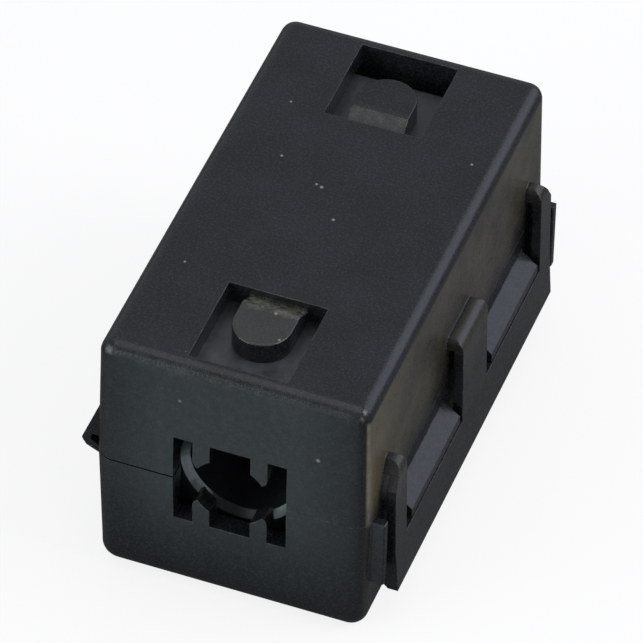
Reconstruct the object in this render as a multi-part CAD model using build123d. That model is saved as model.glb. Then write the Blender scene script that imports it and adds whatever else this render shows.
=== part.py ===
from build123d import *
from math import radians, tan
import os

# Clip-on ferrite core for a round cable: a moulded nylon box case in two halves
# with a living hinge, a sprung latch and a ferrite half core in each half.
# Millimetres. X is the width, with the hinge at -X and the latch at +X.
# Y is the length, along the cable. Z is up, and the origin is the middle of the underside.

# Case
case_length = 32.5
case_width = 17.8  # at the parting plane, without hinge and latch
case_height = 18.9
end_wall = 1.3
side_wall = 1.3  # at the parting plane; the draft thins it towards the top
flat_wall = 1.5  # top and bottom
draft = 1.3  # degrees, each half narrows away from the parting plane
corner_radius = 1.15
top_edge_radius = 1.0
bottom_edge_radius = 1.5
cavity_radius = 0.4
rim_gap = 0.01  # of each rim from the parting plane
hinge_side_gap = 0.12  # the rims gape a little more beside the hinge

# Cable mouth in each end, with four flexible fingers
mouth_width = 7.35
mouth_height = 6.9
finger_width = 1.1
finger_offset = 1.87  # from the cable's axis to the middle of a finger
finger_reach = 1.35  # height of a finger's round tip above or below the axis
cable_grip_radius = 2.5  # the finger tips are cut to this circle

# Windows in the top and the underside, each with a spring tongue
window_width = 6.4
window_length = 6.8
tongue_width = 3.8
tongue_length = 4.5  # from the window's inner edge to the rounded tip
neck_drop = 0.75  # the tongue's root lies this far below the surface
neck_length = 1.3
tongue_edge_radius = 0.12

# Ferrite half cores
ferrite_bore = 7.0
bore_chamfer = 0.45
ferrite_edge = 0.5
ferrite_side_clearance = 0.1
ferrite_end_clearance = 0.1
mating_gap = 0.02  # between the two ground faces
stop_width = 1.0  # of the small ribs that stop a half core endways
stop_depth = 0.6
stop_offset = 5.6
stop_start = 0.6  # the ribs begin this far from the parting plane

# Latch plate on the +X side, hung from three elbows of the upper half
arm_gap = 0.45  # between the widest part of the wall and the arms
arm_thickness = 0.6
arm_flare = 1.1  # degrees, the plate leans outwards towards its lower edge
root_height = 2.6  # of the elbows' underside above the parting plane
elbow_height = 0.85
elbow_radius = 0.8
elbow_end_radius = 0.45
end_arm_width = 1.9
middle_arm_width = 4.4
latch_setback = 2.1  # of the plate's ends behind the ends of the case
bevel_run = 1.1  # the plate's outer upper corners are cut off on a slant
bevel_drop = 1.7
bar_top = 3.25  # below the parting plane
bar_bottom = 6.65
bar_thickness = 1.0
bar_kick = 0.15  # the bar's foot stands out this much more than the plate's lean
bar_lead_in = 0.35

# Catches of the lower half, which stand in the latch's windows
catch_front_gap = 1.15  # between a catch and the arm on its -Y side
catch_back_gap = 0.3  # between a catch and the arm on its +Y side
catch_play = 0.1  # between a catch's underside and the bar
catch_reach = 1.1  # from the widest part of the wall
catch_face = 0.65  # height of the upright face at the ramp's foot
catch_rise = 1.0  # height of the ramp

# Guard ribs of the lower half, one at each end of the latch
rib_thickness = 0.65
rib_front_reach = 0.85  # from the widest part of the wall
rib_back_reach = 1.1
rib_height = 5.1
rib_gap = 0.6  # between the rib and the end of the latch plate
rib_edge_radius = 0.15

# Living hinge
hinge_length = 30.0
hinge_reach = 0.96  # from the widest part of the wall to the fold's axis
hinge_rise = 3.5  # the upper leaf meets the wall this far above the parting plane
hinge_fall = 1.0  # the lower leaf meets the wall this far below it
hollow_top = 0.5  # of the hollow between the leaves and the wall
hollow_wall = 0.5  # from the upper leaf's slanted face to the hollow, along X
leaf_thickness = 0.5  # of the lower leaf, measured upright
fold_nose = 0.3  # from the fold's axis to its tip
fold_belly = 0.52  # the lower leaf hangs this far below the axis
fold_tip_radius = 0.3
fold_radius = 0.6  # the web fills this circle around the axis
web_clearance = 0.02

# Worked out from the sizes above
parting = case_height / 2
half_height = case_height / 2
wall_x = case_width / 2
cavity_width = case_width - 2 * side_wall
cavity_length = case_length - 2 * end_wall
cavity_height = half_height - flat_wall
ferrite_length = cavity_length - 2 * (stop_depth + ferrite_end_clearance)
ferrite_width = cavity_width - 2 * ferrite_side_clearance
window_centre = case_length / 2 - end_wall - window_length / 2
window_inner = window_centre - window_length / 2
tongue_radius = tongue_width / 2
latch_length = case_length - 2 * latch_setback
arm_inner_x = wall_x + arm_gap
arm_outer_x = arm_inner_x + arm_thickness
root_z = parting + root_height
hinge_x = -wall_x - hinge_reach
UP = (Align.CENTER, Align.CENTER, Align.MIN)
embed = 0.6  # how far added features start inside the wall they grow from
past = 0.5  # how far a cutting shape runs past the surface it opens


def wall_at(height):
    """Half width of the case at a height above or below the parting plane."""
    return wall_x - abs(height) * tan(radians(draft))


def along_y(points, length, y=0.0):
    """A prism along Y, centred on y, with its outline given as (x, z) points."""
    outline = make_face(Polyline(*[(x, 0, z) for x, z in points], close=True))
    return Pos(0, y, 0) * extrude(outline, amount=length / 2, dir=(0, 1, 0), both=True)


def finger(height):
    """One cable finger on the +X side of the axis, its round tip cut to the cable's circle."""
    tip_radius = finger_width / 2
    length = case_length + 2 * past
    blade = Box(finger_width, length, height - finger_reach - tip_radius, align=UP)
    blade += Rot(90, 0, 0) * Cylinder(tip_radius, length)
    blade = Pos(finger_offset, 0, finger_reach + tip_radius) * blade
    return blade - Rot(90, 0, 0) * Cylinder(cable_grip_radius, length + 2 * past)


def mouth_cut():
    """The cable opening of one half, at z = 0 and up, less its fingers."""
    height = mouth_height / 2
    cut = Box(mouth_width, case_length + 2 * past, height, align=UP)
    blade = finger(height + past)
    return cut - blade - mirror(blade, about=Plane.YZ)


def window_cut(end):
    """A window through the flat wall, less its spring tongue, at the +Y or -Y end."""
    depth = flat_wall + 2 * past
    top = half_height + past
    window = extrude(Rectangle(window_width, window_length), amount=-depth)
    window = Pos(0, window_centre, top) * window
    straight = tongue_length - tongue_radius
    plan = Pos(0, straight / 2) * Rectangle(tongue_width, straight)
    plan += Pos(0, straight) * Circle(tongue_radius)
    tongue = Pos(0, window_inner, top) * extrude(plan, amount=-depth)
    neck = make_face(Polyline((0, 0, 0), (0, 0, -neck_drop), (0, neck_length, 0), close=True))
    neck = extrude(neck, amount=tongue_width / 2, dir=(1, 0, 0), both=True)
    tongue -= Pos(0, window_inner, half_height) * neck
    cut = window - tongue
    return cut if end > 0 else mirror(cut, about=Plane.XZ)


def tongue_edges(body):
    """The upper edges of both spring tongues, but for the one at the neck's slope."""
    flats = body.faces().filter_by(Plane.XY).group_by(Axis.Z)[-1].sort_by(SortBy.AREA)
    return [edge for tongue in flats[:-1] for edge in tongue.edges().filter_by(Axis.X, reverse=True)]


def end_stops():
    """The ribs inside both ends that keep a half core from sliding along."""
    height = cavity_height - stop_start
    stops = Part()
    for x in (-stop_offset, stop_offset):
        for y in (-1, 1):
            stop = Box(stop_width, stop_depth + embed, height, align=UP)
            at = y * (cavity_length - stop_depth + embed) / 2
            stops += Pos(x, at, stop_start) * stop
    return stops


def half_case(edge_radius):
    """One half of the case, from its rim at z = 0 up to its flat face."""
    outline = RectangleRounded(case_width, case_length, corner_radius)
    body = extrude(outline, amount=half_height, taper=draft)
    body = fillet(body.faces().sort_by(Axis.Z)[-1].edges(), edge_radius)
    cavity = Box(cavity_width, cavity_length, cavity_height, align=UP)
    cavity = fillet(cavity.edges().filter_by(Axis.Z), cavity_radius)
    body -= cavity
    body += end_stops()
    body -= mouth_cut()
    body -= window_cut(1)
    body -= window_cut(-1)
    body = fillet(tongue_edges(body), tongue_edge_radius)
    body -= Box(case_width + 1, case_length + 1, rim_gap, align=UP)
    return body


def hinge_profile():
    """Both leaves and the fold between them as one prism, with the hollow beside the wall."""
    foot = -wall_x + embed
    nose = hinge_x - fold_nose
    outline = make_face(Polyline(
        (foot, 0, hinge_rise), (-wall_at(hinge_rise), 0, hinge_rise), (nose, 0, 0),
        (hinge_x, 0, -fold_belly), (-wall_at(hinge_fall), 0, -hinge_fall), (foot, 0, -hinge_fall),
        close=True))
    outline = fillet(outline.vertices().sort_by(Axis.X)[:2], fold_tip_radius)
    leaves = extrude(outline, amount=hinge_length / 2, dir=(0, 1, 0), both=True)
    slant = (-wall_at(hinge_rise) - nose) / hinge_rise
    hollow = along_y([
        (foot + past, hollow_top), (nose + hollow_top * slant + hollow_wall, hollow_top),
        (hinge_x + fold_nose, 0), (-wall_at(hinge_fall), leaf_thickness - hinge_fall),
        (foot + past, leaf_thickness - hinge_fall),
    ], hinge_length + 2 * past)
    return leaves - hollow


def fold_circle(radius):
    """A round bar along the fold's axis."""
    return Pos(hinge_x, 0, 0) * (Rot(90, 0, 0) * Cylinder(radius, hinge_length + 2 * past))


def hinge_leaf(sign):
    """The leaf that joins the upper (1) or lower (-1) wall to the fold."""
    space = Box(case_width, case_length, half_height, align=UP)
    half = Pos(-wall_x, 0, 0) * (space if sign > 0 else mirror(space, about=Plane.XY))
    return (hinge_profile() & half) - fold_circle(fold_radius + web_clearance)


def elbows():
    """The three hooks on the upper wall that the latch plate hangs from."""
    reach = arm_outer_x - wall_x + embed
    made = Part()
    for width, y in arm_places():
        hook = Pos(wall_x - embed + reach / 2, y, root_z) * Box(reach, width, elbow_height, align=UP)
        side = fillet(hook.edges().filter_by(Axis.X).group_by(Axis.Z)[-1], elbow_end_radius)
        front = hook.edges().filter_by(Axis.Y).group_by(Axis.X)[-1].sort_by(Axis.Z)[-1]
        made += side & fillet(front, elbow_radius)
    return made - outer_corners()


def outer_corners():
    """What the bevels take off the two ends of the latch, through elbows and arms."""
    end = latch_length / 2
    top = root_z + elbow_height
    points = [
        (end - bevel_run, top), (end - bevel_run, top + past), (end + past, top + past),
        (end + past, top - bevel_drop), (end, top - bevel_drop),
    ]
    outline = make_face(Polyline(*[(0, y, z) for y, z in points], close=True))
    reach = 2 * (arm_outer_x - wall_x)
    wedge = Pos(wall_x, 0, 0) * extrude(outline, amount=reach, dir=(1, 0, 0), both=True)
    return wedge + mirror(wedge, about=Plane.XZ)


def arm_places():
    """Width and middle of each arm along Y."""
    end = (latch_length - end_arm_width) / 2
    return ((end_arm_width, -end), (middle_arm_width, 0), (end_arm_width, end))


def flare(depth):
    """How far the plate has leant outwards at a depth below the elbows."""
    return depth * tan(radians(arm_flare))


def latch_plate():
    """Three arms and the release bar, in one piece."""
    top = root_height + bar_top
    foot = root_height + bar_bottom
    outer_top = arm_outer_x + flare(top)
    outer_foot = arm_outer_x + flare(foot) + bar_kick
    bar = along_y([
        (outer_top, root_z - top), (outer_top - bar_thickness, root_z - top),
        (outer_foot - bar_thickness, root_z - foot + bar_lead_in),
        (outer_foot - bar_thickness + bar_lead_in, root_z - foot),
        (outer_foot, root_z - foot),
    ], latch_length)
    for width, y in arm_places():
        bar += along_y([
            (arm_inner_x, root_z), (arm_outer_x, root_z),
            (outer_top, root_z - top), (outer_top - arm_thickness, root_z - top),
        ], width, y)
    return bar - outer_corners()


def catches():
    """Wedges on the lower wall: a ramp on top and a square face below."""
    foot = parting - bar_top + catch_play
    points = [
        (wall_x - embed, foot), (wall_x + catch_reach, foot),
        (wall_x + catch_reach, foot + catch_face),
        (wall_at(catch_face), foot + catch_face + catch_rise),
        (wall_x - embed, foot + catch_face + catch_rise),
    ]
    inner = middle_arm_width / 2
    outer = latch_length / 2 - end_arm_width
    made = Part()
    for front, back in ((-outer, -inner), (inner, outer)):
        start = front + catch_front_gap
        end = back - catch_back_gap
        made += along_y(points, end - start, (start + end) / 2)
    return made


def guard_ribs():
    """Upright ribs on the lower wall, one beyond each end of the latch plate."""
    y = latch_length / 2 + rib_gap + rib_thickness / 2
    made = Part()
    for reach, place in ((rib_front_reach, -y), (rib_back_reach, y)):
        rib = Box(embed + reach, rib_thickness, rib_height)
        rounded = rib.edges().filter_by(Axis.Y, reverse=True).group_by(Axis.X)[-1]
        rib = fillet(rounded + rib.edges().filter_by(Axis.X).group_by(Axis.Z)[-1], rib_edge_radius)
        x = wall_x + (reach - embed) / 2
        made += Pos(x, place, parting - rim_gap - rib_height / 2) * rib
    return made


def upper_shell():
    shell = Pos(0, 0, parting) * half_case(top_edge_radius)
    shell += Pos(0, 0, parting) * hinge_leaf(1)
    shell += elbows()
    # the rims gape beside the hinge, from the outer wall to the mouth
    slot = Box(wall_x - mouth_width / 2, case_length + 1, hinge_side_gap, align=UP)
    return shell - Pos(-(wall_x + mouth_width / 2) / 2, 0, parting) * slot


def lower_shell():
    shell = Pos(0, 0, parting) * mirror(half_case(bottom_edge_radius), about=Plane.XY)
    shell += Pos(0, 0, parting) * hinge_leaf(-1)
    shell += catches()
    return shell + guard_ribs()


def ferrite_half(sign):
    """A fired block with a half-round groove; sign is 1 for the upper half."""
    height = cavity_height - mating_gap / 2
    block = Box(ferrite_width, ferrite_length, height, align=UP)
    block = chamfer(block.edges().filter_by(Plane.XY).group_by(Axis.Z)[-1], ferrite_edge)
    block = Pos(0, 0, mating_gap / 2) * block
    radius = ferrite_bore / 2
    block -= Rot(90, 0, 0) * Cylinder(radius, ferrite_length + 1)
    for side in (-1, 1):
        mouth = Cone(radius, radius + bore_chamfer, bore_chamfer)
        at = side * (ferrite_length - bore_chamfer) / 2
        block -= Pos(0, at, 0) * (Rot(-90 * side, 0, 0) * mouth)
    if sign < 0:
        block = mirror(block, about=Plane.XY)
    return Pos(0, 0, parting) * block


def hinge_web():
    """The fold itself, between the two leaves."""
    return Pos(0, 0, parting) * (hinge_profile() & fold_circle(fold_radius))


pieces = {
    "lower_shell": lower_shell(),
    "upper_shell": upper_shell(),
    "hinge_web": hinge_web(),
    "latch_plate": latch_plate(),
    "ferrite_lower_half": ferrite_half(-1),
    "ferrite_upper_half": ferrite_half(1),
}
os.makedirs("parts", exist_ok=True)
for name, shape in pieces.items():
    export_step(shape, f"parts/{name}.step")
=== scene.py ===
from math import radians
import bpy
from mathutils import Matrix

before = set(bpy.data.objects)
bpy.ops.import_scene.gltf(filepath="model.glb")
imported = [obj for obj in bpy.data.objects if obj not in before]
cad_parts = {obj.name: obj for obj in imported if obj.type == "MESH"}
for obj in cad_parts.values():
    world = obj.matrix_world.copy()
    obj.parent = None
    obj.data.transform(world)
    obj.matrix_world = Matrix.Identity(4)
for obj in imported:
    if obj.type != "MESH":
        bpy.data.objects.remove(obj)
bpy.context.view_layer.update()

from types import SimpleNamespace

import bmesh
import bpy
from mathutils import Matrix, Vector

MM = 0.001

# Where the photograph was taken from
camera_turn = 19.78  # degrees, from the front end towards the latch
camera_height = 44.33  # degrees above the bench
camera_roll = 1.25  # degrees
camera_distance = 421.7 * MM  # to the middle of the case
focal_length = 379.6  # mm
sensor_width = 36  # mm
frame_shift = (-0.0036, -0.0030)  # the case stands this much off the picture's middle
case_middle = Vector((0, 0, 9.457 * MM))
floor_reach = 800 * MM  # from the case to the floor's edges

# Places on the case in mm: x from its middle towards the latch, y from its middle towards
# the far end (the front one is at minus), z up from its underside
side_wall_x = 9.0  # only the latch, its elbows and the guard ribs stand out beyond
parting_z = 9.45  # the plane between the halves, and the middle of the bore
upper_half_z = (14.0, 15.0)  # dust settles above these heights only
window_y = 8.2  # a window's inner edge, where its spring tongue is rooted
crease_y = 9.8  # between a tongue's sloping root and its pad
tongue_tip_y = 12.8
tongue_side_x = 1.83  # where the tongue's side starts to round
guard_rib_y = 14.65  # the latch ends before, and the guard ribs stand beyond
end_y = (15.2, 15.35)  # the ends of the guard ribs and of the case lie beyond
bore_rim_reach = 4.2  # from the middle of the bore to just outside its rim

# Stray grains of dust on the upper half, and four painted glints on the front tongue (the last
# four): x, y, z and radius in mm
stray_grains_and_painted_glints = [
    (-1.34, 1.88, 18.9, 0.09), (-0.96, 1.75, 18.9, 0.11), (0.73, -0.72, 18.9, 0.10),
    (-4.25, 3.50, 18.9, 0.09), (-6.36, -7.49, 18.9, 0.08), (-5.48, 8.32, 18.9, 0.08),
    (6.94, 7.06, 18.9, 0.09), (-3.28, -16.15, 16.07, 0.11), (5.63, -16.15, 14.32, 0.14),
    (8.80, 0.92, 12.25, 0.12), (0.41, -9.67, 18.9, 0.1), (1.41, -11.72, 18.9, 0.08),
    (-0.43, -8.83, 18.9, 0.12), (-0.56, -9.35, 18.9, 0.08),
]

# Sockets of a Mix node for colours: its two colours, and the result
FIRST, SECOND, MIXED = 6, 7, 2

# The ends of a mask that is full at its start and gone at its end
FADING = {"To Min": 1.0, "To Max": 0.0}


def hex_colour(text):
    """An sRGB hex colour as a linear colour with full alpha."""
    parts = [int(text[i:i + 2], 16) / 255 for i in (1, 3, 5)]
    linear = [c / 12.92 if c <= 0.04045 else ((c + 0.055) / 1.055) ** 2.4 for c in parts]
    return (*linear, 1)


def span(start, end):
    """The two places, in mm, at which a mask starts and ends."""
    return {"From Min": start * MM, "From Max": end * MM}


def add(tree, kind, inputs=None, **settings):
    """Adds a node, sets its options, and fills its inputs or links them.

    An input is a plain value, a socket, or a node, which stands for its first output.
    """
    made = tree.nodes.new("ShaderNode" + kind)
    for name, value in settings.items():
        setattr(made, name, value)
    for name, value in (inputs or {}).items():
        if isinstance(value, bpy.types.Node):
            value = value.outputs[0]
        if isinstance(value, bpy.types.NodeSocket):
            tree.links.new(value, made.inputs[name])
        else:
            made.inputs[name].default_value = value
    return made


def new_material(name):
    """A material with an empty node tree."""
    material = bpy.data.materials.new(name)
    material.use_nodes = True
    material.node_tree.nodes.clear()
    return material, material.node_tree


def nylon_surface(tree):
    """The places, facings, noises and soft edges that the looks of the nylon share."""
    grain = 0.15 * MM  # of the eroded texture, drawn a little coarse so that it shows
    fleck = 0.6 * MM  # of the uneven gloss between the grains
    cloud = 4 * MM  # of the haze left by handling
    edge_radius = 0.10 * MM
    coordinates = add(tree, "TexCoord").outputs
    place = coordinates["Object"]
    x, y, z = add(tree, "SeparateXYZ", {"Vector": place}).outputs
    facing_x, facing_y, facing_z = add(
        tree, "SeparateXYZ", {"Vector": coordinates["Normal"]}).outputs
    return SimpleNamespace(
        place=place, x=x, y=y, z=z, facing_x=facing_x, facing_z=facing_z,
        aside=add(tree, "Math", {0: x}, operation="ABSOLUTE"),
        along=add(tree, "Math", {0: y}, operation="ABSOLUTE"),
        endways=add(tree, "Math", {0: facing_y}, operation="ABSOLUTE"),
        upright=add(tree, "MapRange", {
            "Value": facing_z, "From Min": 0.06, "From Max": 0.22, **FADING}),
        past_wall=add(tree, "MapRange", {
            "Value": x, **span(side_wall_x - 0.05, side_wall_x + 0.05)}),
        fine=add(tree, "TexNoise", {
            "Vector": place, "Scale": 1 / grain, "Detail": 2.0, "Roughness": 0.75}),
        flecks=add(tree, "TexNoise", {
            "Vector": place, "Scale": 1 / fleck, "Detail": 3.0, "Roughness": 0.6}),
        haze=add(tree, "TexNoise", {
            "Vector": place, "Scale": 1 / cloud, "Detail": 5.0, "Roughness": 0.65}),
        soft=add(tree, "Bevel", {"Radius": edge_radius}, samples=8))


def latch_side_film(tree, on):
    """How much brownish dust there is: on the upper wall behind the latch, on the elbows."""
    patchy = add(tree, "MapRange", {
        "Value": on.haze, "From Min": 0.38, "From Max": 0.62, "To Min": 0.14, "To Max": 0.36})
    more_in_front = add(tree, "MapRange", {
        "Value": on.y, **span(-16.0, -10.0), "To Min": 0.55, "To Max": 0.0})
    sideways = add(tree, "MapRange", {
        "Value": on.facing_x, "From Min": 0.76, "From Max": 0.86})
    outside = add(tree, "MapRange", {"Value": on.x, **span(7.9, 8.2)})
    upper_wall = add(tree, "MapRange", {"Value": on.z, **span(9.0, 11.5), "To Min": 0.1})
    less_on_arms = add(tree, "MapRange", {
        "Value": on.past_wall, "To Min": 1.0, "To Max": 0.4})
    film = add(tree, "Math", {0: patchy, 1: more_in_front}, operation="ADD")
    for mask in (sideways, on.upright, outside, upper_wall, less_on_arms):
        film = add(tree, "Math", {0: film, 1: mask}, operation="MULTIPLY")
    elbow = add(tree, "MapRange", {"Value": on.z, **span(11.6, 12.4), "To Max": 0.6})
    for mask in (on.past_wall, patchy):
        elbow = add(tree, "Math", {0: elbow, 1: mask}, operation="MULTIPLY")
    return add(tree, "Math", {0: film, 1: elbow}, operation="MAXIMUM")


def end_film_and_painted_light(tree, on):
    """How much greenish film there is on the ends: partly a film of handling, partly painted
    light, paler to the top and middle and on the ribs.
    """
    on_end = add(tree, "MapRange", {"Value": on.along, **span(*end_y)})
    # Painted light: the film is drawn thicker towards the top and the middle of each end, and
    # on the guard ribs' ends, where more light falls
    painted_light_upwards = add(tree, "MapRange", {"Value": on.z, **span(1.0, 9.0), "To Max": 0.27})
    painted_light_in_middle = add(tree, "MapRange", {
        "Value": on.aside, **span(4.5, 8.8), "To Min": 1.0, "To Max": 0.3})
    uneven = add(tree, "MapRange", {
        "Value": on.flecks, "From Min": 0.3, "From Max": 0.7, "To Min": 0.85, "To Max": 1.15})
    painted_light_on_rib = add(tree, "MapRange", {
        "Value": on.x, **span(side_wall_x - 0.1, side_wall_x), "To Min": 1.0, "To Max": 2.2})
    film = add(tree, "MapRange", {"Value": on.endways, "From Min": 0.8, "From Max": 0.98})
    for mask in (on_end, painted_light_upwards, painted_light_in_middle, uneven, painted_light_on_rib):
        film = add(tree, "Math", {0: film, 1: mask}, operation="MULTIPLY")
    return film


def tongue_dust(tree, on):
    """How much pale dust there is: caught at the tongues' roots, thin on the front tongue."""
    settled = add(tree, "MapRange", {"Value": on.z, **span(*upper_half_z)})
    in_window = add(tree, "MapRange", {"Value": on.along, **span(window_y - 0.1, window_y)})
    before_crease = add(tree, "MapRange", {
        "Value": on.along, **span(crease_y - 0.2, crease_y + 0.2), **FADING})
    on_root = add(tree, "MapRange", {
        "Value": on.aside, **span(tongue_side_x - 0.05, tongue_side_x + 0.05), **FADING})
    less_where_flat = add(tree, "MapRange", {
        "Value": on.facing_z, "From Min": 0.90, "From Max": 0.98, "To Min": 1.0, "To Max": 0.5})
    less_behind = add(tree, "MapRange", {
        "Value": on.y, **span(-1.0, 1.0), "To Min": 1.0, "To Max": 0.2})
    # The window's wall stays clean at its top; the slope of the root doesn't
    low_on_wall = add(tree, "MapRange", {"Value": on.z, **span(18.3, 18.5), **FADING})
    sloping = add(tree, "MapRange", {"Value": on.facing_z, "From Min": 0.3, "From Max": 0.5})
    lying = add(tree, "Math", {0: low_on_wall, 1: sloping}, operation="MAXIMUM")
    caught = add(tree, "MapRange", {
        "Value": on.flecks, "From Min": 0.36, "From Max": 0.66, "To Min": 0.12, "To Max": 0.90})
    for mask in (
            lying, before_crease, in_window, on_root, less_where_flat, settled, less_behind):
        caught = add(tree, "Math", {0: caught, 1: mask}, operation="MULTIPLY")

    flat = add(tree, "MapRange", {"Value": on.facing_z, "From Min": 0.7, "From Max": 0.9})
    before_tip = add(tree, "MapRange", {
        "Value": on.along, **span(tongue_tip_y, tongue_tip_y + 0.1), **FADING})
    on_pad = add(tree, "MapRange", {"Value": on.aside, **span(2.3, 2.5), **FADING})
    thin = add(tree, "MapRange", {
        "Value": on.y, **span(-window_y - 0.2, -window_y), "To Min": 0.13, "To Max": 0.0})
    for mask in (on_pad, before_tip, flat, settled):
        thin = add(tree, "Math", {0: thin, 1: mask}, operation="MULTIPLY")
    return add(tree, "Math", {0: caught, 1: thin}, operation="MAXIMUM")


def rubbed_edges_and_painted_highlights(tree, on):
    """How far the edges are drawn pale, partly rubbed wear and partly painted highlights, with
    a painted reflection on the front corner by the latch.
    """
    true_face = add(tree, "NewGeometry").outputs["Normal"]
    turn = add(tree, "VectorMath", {
        0: on.soft, 1: true_face}, operation="DOT_PRODUCT").outputs["Value"]
    edge = add(tree, "MapRange", {"Value": turn, "From Min": 0.985, "From Max": 0.9})
    # On the hinge side the edges that meet at the parting plane stay sharp and black
    from_parting = add(tree, "Math", {0: on.z, 1: parting_z * MM}, operation="SUBTRACT")
    from_parting = add(tree, "Math", {0: from_parting}, operation="ABSOLUTE")
    off_parting = add(tree, "MapRange", {"Value": from_parting, **span(0.25, 0.35)})
    latch_side = add(tree, "Math", {0: on.x, 1: 0.0}, operation="GREATER_THAN")
    open_edge = add(tree, "Math", {0: off_parting, 1: latch_side}, operation="MAXIMUM")
    # The pale edges are partly wear, partly painted highlights along the edges
    patchy_wear_and_highlight = add(tree, "MapRange", {
        "Value": on.flecks, "From Min": 0.42, "From Max": 0.62, "To Max": 0.28})
    # Painted highlight: the guard rib's edges beyond the wall are drawn paler still
    at_rib = add(tree, "MapRange", {
        "Value": on.along, **span(guard_rib_y - 0.05, guard_rib_y + 0.05)})
    at_rib = add(tree, "Math", {0: at_rib, 1: on.past_wall}, operation="MULTIPLY")
    painted_light_on_rib = add(tree, "Math", {0: at_rib, 1: 1.4, 2: 1.0}, operation="MULTIPLY_ADD")
    for mask in (open_edge, patchy_wear_and_highlight, painted_light_on_rib):
        edge = add(tree, "Math", {0: edge, 1: mask}, operation="MULTIPLY")

    # Painted reflection: a pale line down the upper half's corner between the front end and the
    # latch side, where that rounded corner mirrors the bench
    upper_half = add(tree, "MapRange", {
        "Value": on.z, **span(parting_z - 0.15, parting_z + 0.15)})
    near_end = add(tree, "MapRange", {"Value": on.along, **span(15.0, 15.2)})
    not_on_end = add(tree, "MapRange", {
        "Value": on.facing_x, "From Min": 0.77, "From Max": 0.87})
    not_on_wall = add(tree, "MapRange", {
        "Value": on.facing_x, "From Min": 0.90, "From Max": 0.97, **FADING})
    painted_corner_reflection = add(tree, "MapRange", {
        "Value": on.flecks, "From Min": 0.35, "From Max": 0.60, "To Min": 0.25, "To Max": 0.75})
    for mask in (not_on_end, not_on_wall, upper_half, on.upright, near_end):
        painted_corner_reflection = add(tree, "Math", {0: painted_corner_reflection, 1: mask}, operation="MULTIPLY")
    return add(tree, "Math", {0: edge, 1: painted_corner_reflection}, operation="MAXIMUM")


def dust_grains_and_painted_glints(tree, place):
    """Where single pale grains of dust and lint lie: a thin scatter and the stray ones, among
    which four painted glints on the front tongue.
    """
    spacing = 1.7 * MM
    scatter = add(tree, "TexVoronoi", {"Vector": place, "Scale": 1 / spacing})
    chance = add(tree, "SeparateColor", {"Color": scatter.outputs["Color"]})
    size = add(tree, "MapRange", {"Value": chance, "From Min": 0.5, "To Max": 0.045})
    gap = add(tree, "Math", {0: size, 1: scatter.outputs["Distance"]}, operation="SUBTRACT")
    grains_and_glints = add(tree, "MapRange", {"Value": gap, "From Max": 0.03, "To Max": 0.6})
    # The last four stray places are painted glints on the front tongue, not grains
    for x, y, z, radius in stray_grains_and_painted_glints:
        gap = add(tree, "VectorMath", {
            0: place, 1: (x * MM, y * MM, z * MM)}, operation="DISTANCE").outputs["Value"]
        grain = add(tree, "MapRange", {
            "Value": gap, **span(0.5 * radius, 1.3 * radius), **FADING})
        grains_and_glints = add(tree, "Math", {0: grains_and_glints, 1: grain}, operation="MAXIMUM")
    return grains_and_glints


def moulded_nylon():
    """Black nylon 66, moulded in a spark-eroded tool.

    To the eye it is a slate black with a fine speckle, where the high spots of the grain are
    rubbed paler, with worn edges that also carry painted highlights, a painted reflection down
    the front corner by the latch, a greenish film on its ends that is partly handling and
    partly painted light, a brownish one of dust on the latch side, pale dust caught at the
    roots of the spring tongues, and grains of dust among which a few painted glints.
    """
    material, tree = new_material("moulded_nylon_spark_eroded")
    on = nylon_surface(tree)
    clouded = add(tree, "MapRange", {"Value": on.haze, "From Min": 0.35, "From Max": 0.68})
    base = add(tree, "Mix", {
        "Factor": clouded, FIRST: hex_colour("#101214"), SECOND: hex_colour("#1a1d21")},
        data_type="RGBA").outputs[MIXED]
    high_spots = add(tree, "MapRange", {
        "Value": on.fine, "From Min": 0.46, "From Max": 0.72, "To Max": 0.15})
    # The films, edges and grains laid on here carry painted light as well as dust and wear
    for share, colour in (
            (high_spots, "#6a7078"),
            (latch_side_film(tree, on), "#6f6650"),
            (end_film_and_painted_light(tree, on), "#6c7678"),
            (tongue_dust(tree, on), "#7d7a70"),
            (rubbed_edges_and_painted_highlights(tree, on), "#827f74"),
            (dust_grains_and_painted_glints(tree, on.place), "#8e8e88")):
        base = add(tree, "Mix", {
            "Factor": share, FIRST: base, SECOND: hex_colour(colour)},
            data_type="RGBA").outputs[MIXED]
    rough = add(tree, "MapRange", {
        "Value": on.flecks, "From Min": 0.3, "From Max": 0.7, "To Min": 0.20, "To Max": 0.30})
    bump = add(tree, "Bump", {
        "Height": on.fine, "Normal": on.soft, "Strength": 0.6, "Distance": 0.02 * MM})
    shader = add(tree, "BsdfPrincipled", {
        "Base Color": base, "Roughness": rough, "IOR": 1.53, "Normal": bump})
    add(tree, "OutputMaterial", {"Surface": shader})
    return material


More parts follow.
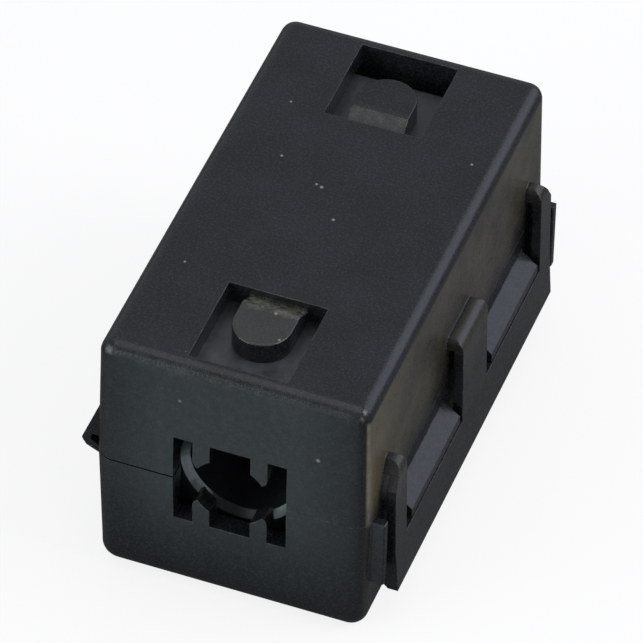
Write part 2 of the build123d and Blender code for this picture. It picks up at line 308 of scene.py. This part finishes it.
def fired_ferrite():
    """Manganese-zinc ferrite, pressed, fired and ground.

    To the eye it is a dense grey-black ceramic with a slight gloss, with a painted highlight on
    the sides of the lower half's rim, and paler towards the front of the front window, partly
    from dust and partly from painted light.
    """
    grain = 0.25 * MM
    patch = 1.5 * MM  # of the dust and painted light in the window
    streak = 0.5 * MM  # of the streaks in the painted highlight on the rim
    edge_radius = 0.06 * MM
    material, tree = new_material("fired_ferrite_ground")
    coordinates = add(tree, "TexCoord").outputs
    place = coordinates["Object"]
    x, y, z = add(tree, "SeparateXYZ", {"Vector": place}).outputs
    facing_y = add(tree, "SeparateXYZ", {"Vector": coordinates["Normal"]}).outputs["Y"]
    fine = add(tree, "TexNoise", {
        "Vector": place, "Scale": 1 / grain, "Detail": 2.0, "Roughness": 0.5})
    patches = add(tree, "TexNoise", {
        "Vector": place, "Scale": 1 / patch, "Detail": 3.0, "Roughness": 0.6})
    streaks = add(tree, "TexNoise", {
        "Vector": place, "Scale": 1 / streak, "Detail": 3.0, "Roughness": 0.6})

    # Partly dust, partly painted light: the floor of the front window is drawn paler towards
    # the window's front, where more light falls
    in_front_window = add(tree, "MapRange", {"Value": y, **span(-12.5, -8.5), **FADING})
    settled = add(tree, "MapRange", {"Value": z, **span(*upper_half_z)})
    dust_and_painted_light = add(tree, "MapRange", {
        "Value": patches, "From Min": 0.40, "From Max": 0.62, "To Min": 0.06, "To Max": 0.20})
    for mask in (in_front_window, settled):
        dust_and_painted_light = add(tree, "Math", {0: dust_and_painted_light, 1: mask}, operation="MULTIPLY")

    # The bore's rim is the slanted ring close around the bore
    out = add(tree, "VectorMath", {
        0: place, 1: (0, 0, parting_z * MM)}, operation="SUBTRACT")
    out = add(tree, "VectorMath", {0: out, 1: (1, 0, 1)}, operation="MULTIPLY")
    out = add(tree, "VectorMath", {0: out}, operation="LENGTH").outputs["Value"]
    endways = add(tree, "Math", {0: facing_y}, operation="ABSOLUTE")
    slanted = add(tree, "MapRange", {"Value": endways, "From Min": 0.4, "From Max": 0.5})
    not_on_end = add(tree, "MapRange", {
        "Value": endways, "From Min": 0.85, "From Max": 0.95, **FADING})
    rim = add(tree, "MapRange", {
        "Value": out, **span(bore_rim_reach, bore_rim_reach + 0.1), **FADING})
    for mask in (slanted, not_on_end):
        rim = add(tree, "Math", {0: rim, 1: mask}, operation="MULTIPLY")
    # Painted highlight: the lower half's rim is drawn pale at its sides, where its chamfer
    # glints
    aside = add(tree, "Math", {0: x}, operation="ABSOLUTE")
    at_sides = add(tree, "MapRange", {"Value": aside, **span(1.9, 2.5), "To Max": 0.9})
    lower_half = add(tree, "MapRange", {
        "Value": z, **span(9.2, 9.8), "To Min": 1.0, "To Max": 0.35})
    uneven = add(tree, "MapRange", {
        "Value": streaks, "From Min": 0.35, "From Max": 0.6, "To Min": 0.75, "To Max": 1.1})
    painted_rim_highlight = rim
    for mask in (at_sides, lower_half, uneven):
        painted_rim_highlight = add(tree, "Math", {0: painted_rim_highlight, 1: mask}, operation="MULTIPLY")

    mottled = add(tree, "MapRange", {"Value": fine, "From Min": 0.35, "From Max": 0.7})
    base = hex_colour("#1a1b1e")
    for share, colour in ((mottled, "#292c30"), (dust_and_painted_light, "#8a9092"), (painted_rim_highlight, "#a4aeb2")):
        base = add(tree, "Mix", {
            "Factor": share, FIRST: base, SECOND: hex_colour(colour)},
            data_type="RGBA").outputs[MIXED]
    rough = add(tree, "MapRange", {
        "Value": fine, "From Min": 0.3, "From Max": 0.7, "To Min": 0.28, "To Max": 0.38})
    gloss = add(tree, "MapRange", {"Value": rim, "To Min": 0.5, "To Max": 0.12})
    soft = add(tree, "Bevel", {"Radius": edge_radius}, samples=8)
    bump = add(tree, "Bump", {
        "Height": fine, "Normal": soft, "Strength": 0.1, "Distance": 0.02 * MM})
    shader = add(tree, "BsdfPrincipled", {
        "Base Color": base, "Roughness": rough, "IOR": 1.8,
        "Specular IOR Level": gloss, "Normal": bump})
    add(tree, "OutputMaterial", {"Surface": shader})
    return material


def matt_card():
    """Matt card under the case; the camera sees it as plain white with a soft shadow."""
    material, tree = new_material("matt_card")
    card = add(tree, "BsdfDiffuse", {"Color": hex_colour("#7a7a7a")})
    seen = add(tree, "LightPath").outputs["Is Camera Ray"]
    lift = add(tree, "Math", {0: seen, 1: 0.82}, operation="MULTIPLY")
    glow = add(tree, "Emission", {"Color": hex_colour("#ffffff"), "Strength": lift})
    laid = add(tree, "AddShader", {0: card, 1: glow})
    add(tree, "OutputMaterial", {"Surface": laid})
    return material


def dress(names, material):
    """Gives the CAD pieces of these names their finish."""
    for name in names:
        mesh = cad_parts[name].data
        mesh.materials.clear()
        mesh.materials.append(material)


def white_floor():
    """The flat card that the case lies on."""
    mesh = bpy.data.meshes.new("floor")
    shape = bmesh.new()
    bmesh.ops.create_grid(shape, x_segments=1, y_segments=1, size=floor_reach)
    shape.to_mesh(mesh)
    shape.free()
    mesh.materials.append(matt_card())
    floor = bpy.data.objects.new("floor", mesh)
    bpy.context.collection.objects.link(floor)


def soft_box(name, place, size, power, tint="#ffffff"):
    """A square soft light that faces the middle of the case; metres and watts."""
    lamp = bpy.data.lights.new(name, "AREA")
    lamp.shape = "SQUARE"
    lamp.size = size
    lamp.energy = power
    lamp.color = hex_colour(tint)[:3]
    holder = bpy.data.objects.new(name, lamp)
    holder.location = Vector(place)
    facing = (holder.location - case_middle).to_track_quat("Z", "Y")
    holder.rotation_euler = facing.to_euler()
    bpy.context.collection.objects.link(holder)


def studio():
    """A pale room, a soft box overhead, and smaller ones at the right, back right and front."""
    world = bpy.data.worlds.new("pale_room")
    bpy.context.scene.world = world
    world.use_nodes = True
    sky = world.node_tree.nodes["Background"]
    sky.inputs["Color"].default_value = hex_colour("#eef3fb")
    sky.inputs["Strength"].default_value = 0.42
    soft_box("soft_box_overhead", (0, 0, 0.50), 0.40, 0.35)
    soft_box("soft_box_right", (0.38, 0.05, 0.35), 0.25, 0.8)
    soft_box("soft_box_back_right", (0.30, 0.33, 0.235), 0.36, 0.39, "#e2e9ff")
    soft_box("soft_box_front_left", (-0.36, -0.36, 0.16), 0.40, 1.4, "#f2faf6")
    soft_box("soft_box_front_right", (0.36, -0.33, 0.17), 0.15, 0.20)


def camera():
    """The photograph's point of view."""
    lens = bpy.data.cameras.new("camera")
    lens.sensor_width = sensor_width
    lens.lens = focal_length
    lens.shift_x, lens.shift_y = frame_shift
    turn = Matrix.Rotation(radians(camera_turn), 4, "Z")
    turn @= Matrix.Rotation(radians(90 - camera_height), 4, "X")
    turn @= Matrix.Rotation(radians(camera_roll), 4, "Z")
    back = turn.to_3x3() @ Vector((0, 0, 1))
    eye = bpy.data.objects.new("camera", lens)
    eye.matrix_world = Matrix.Translation(case_middle + back * camera_distance) @ turn
    bpy.context.collection.objects.link(eye)
    bpy.context.scene.camera = eye


camera()
studio()
white_floor()
dress(("lower_shell", "upper_shell", "hinge_web", "latch_plate"), moulded_nylon())
dress(("ferrite_lower_half", "ferrite_upper_half"), fired_ferrite())
bpy.context.scene.view_settings.view_transform = "Standard"
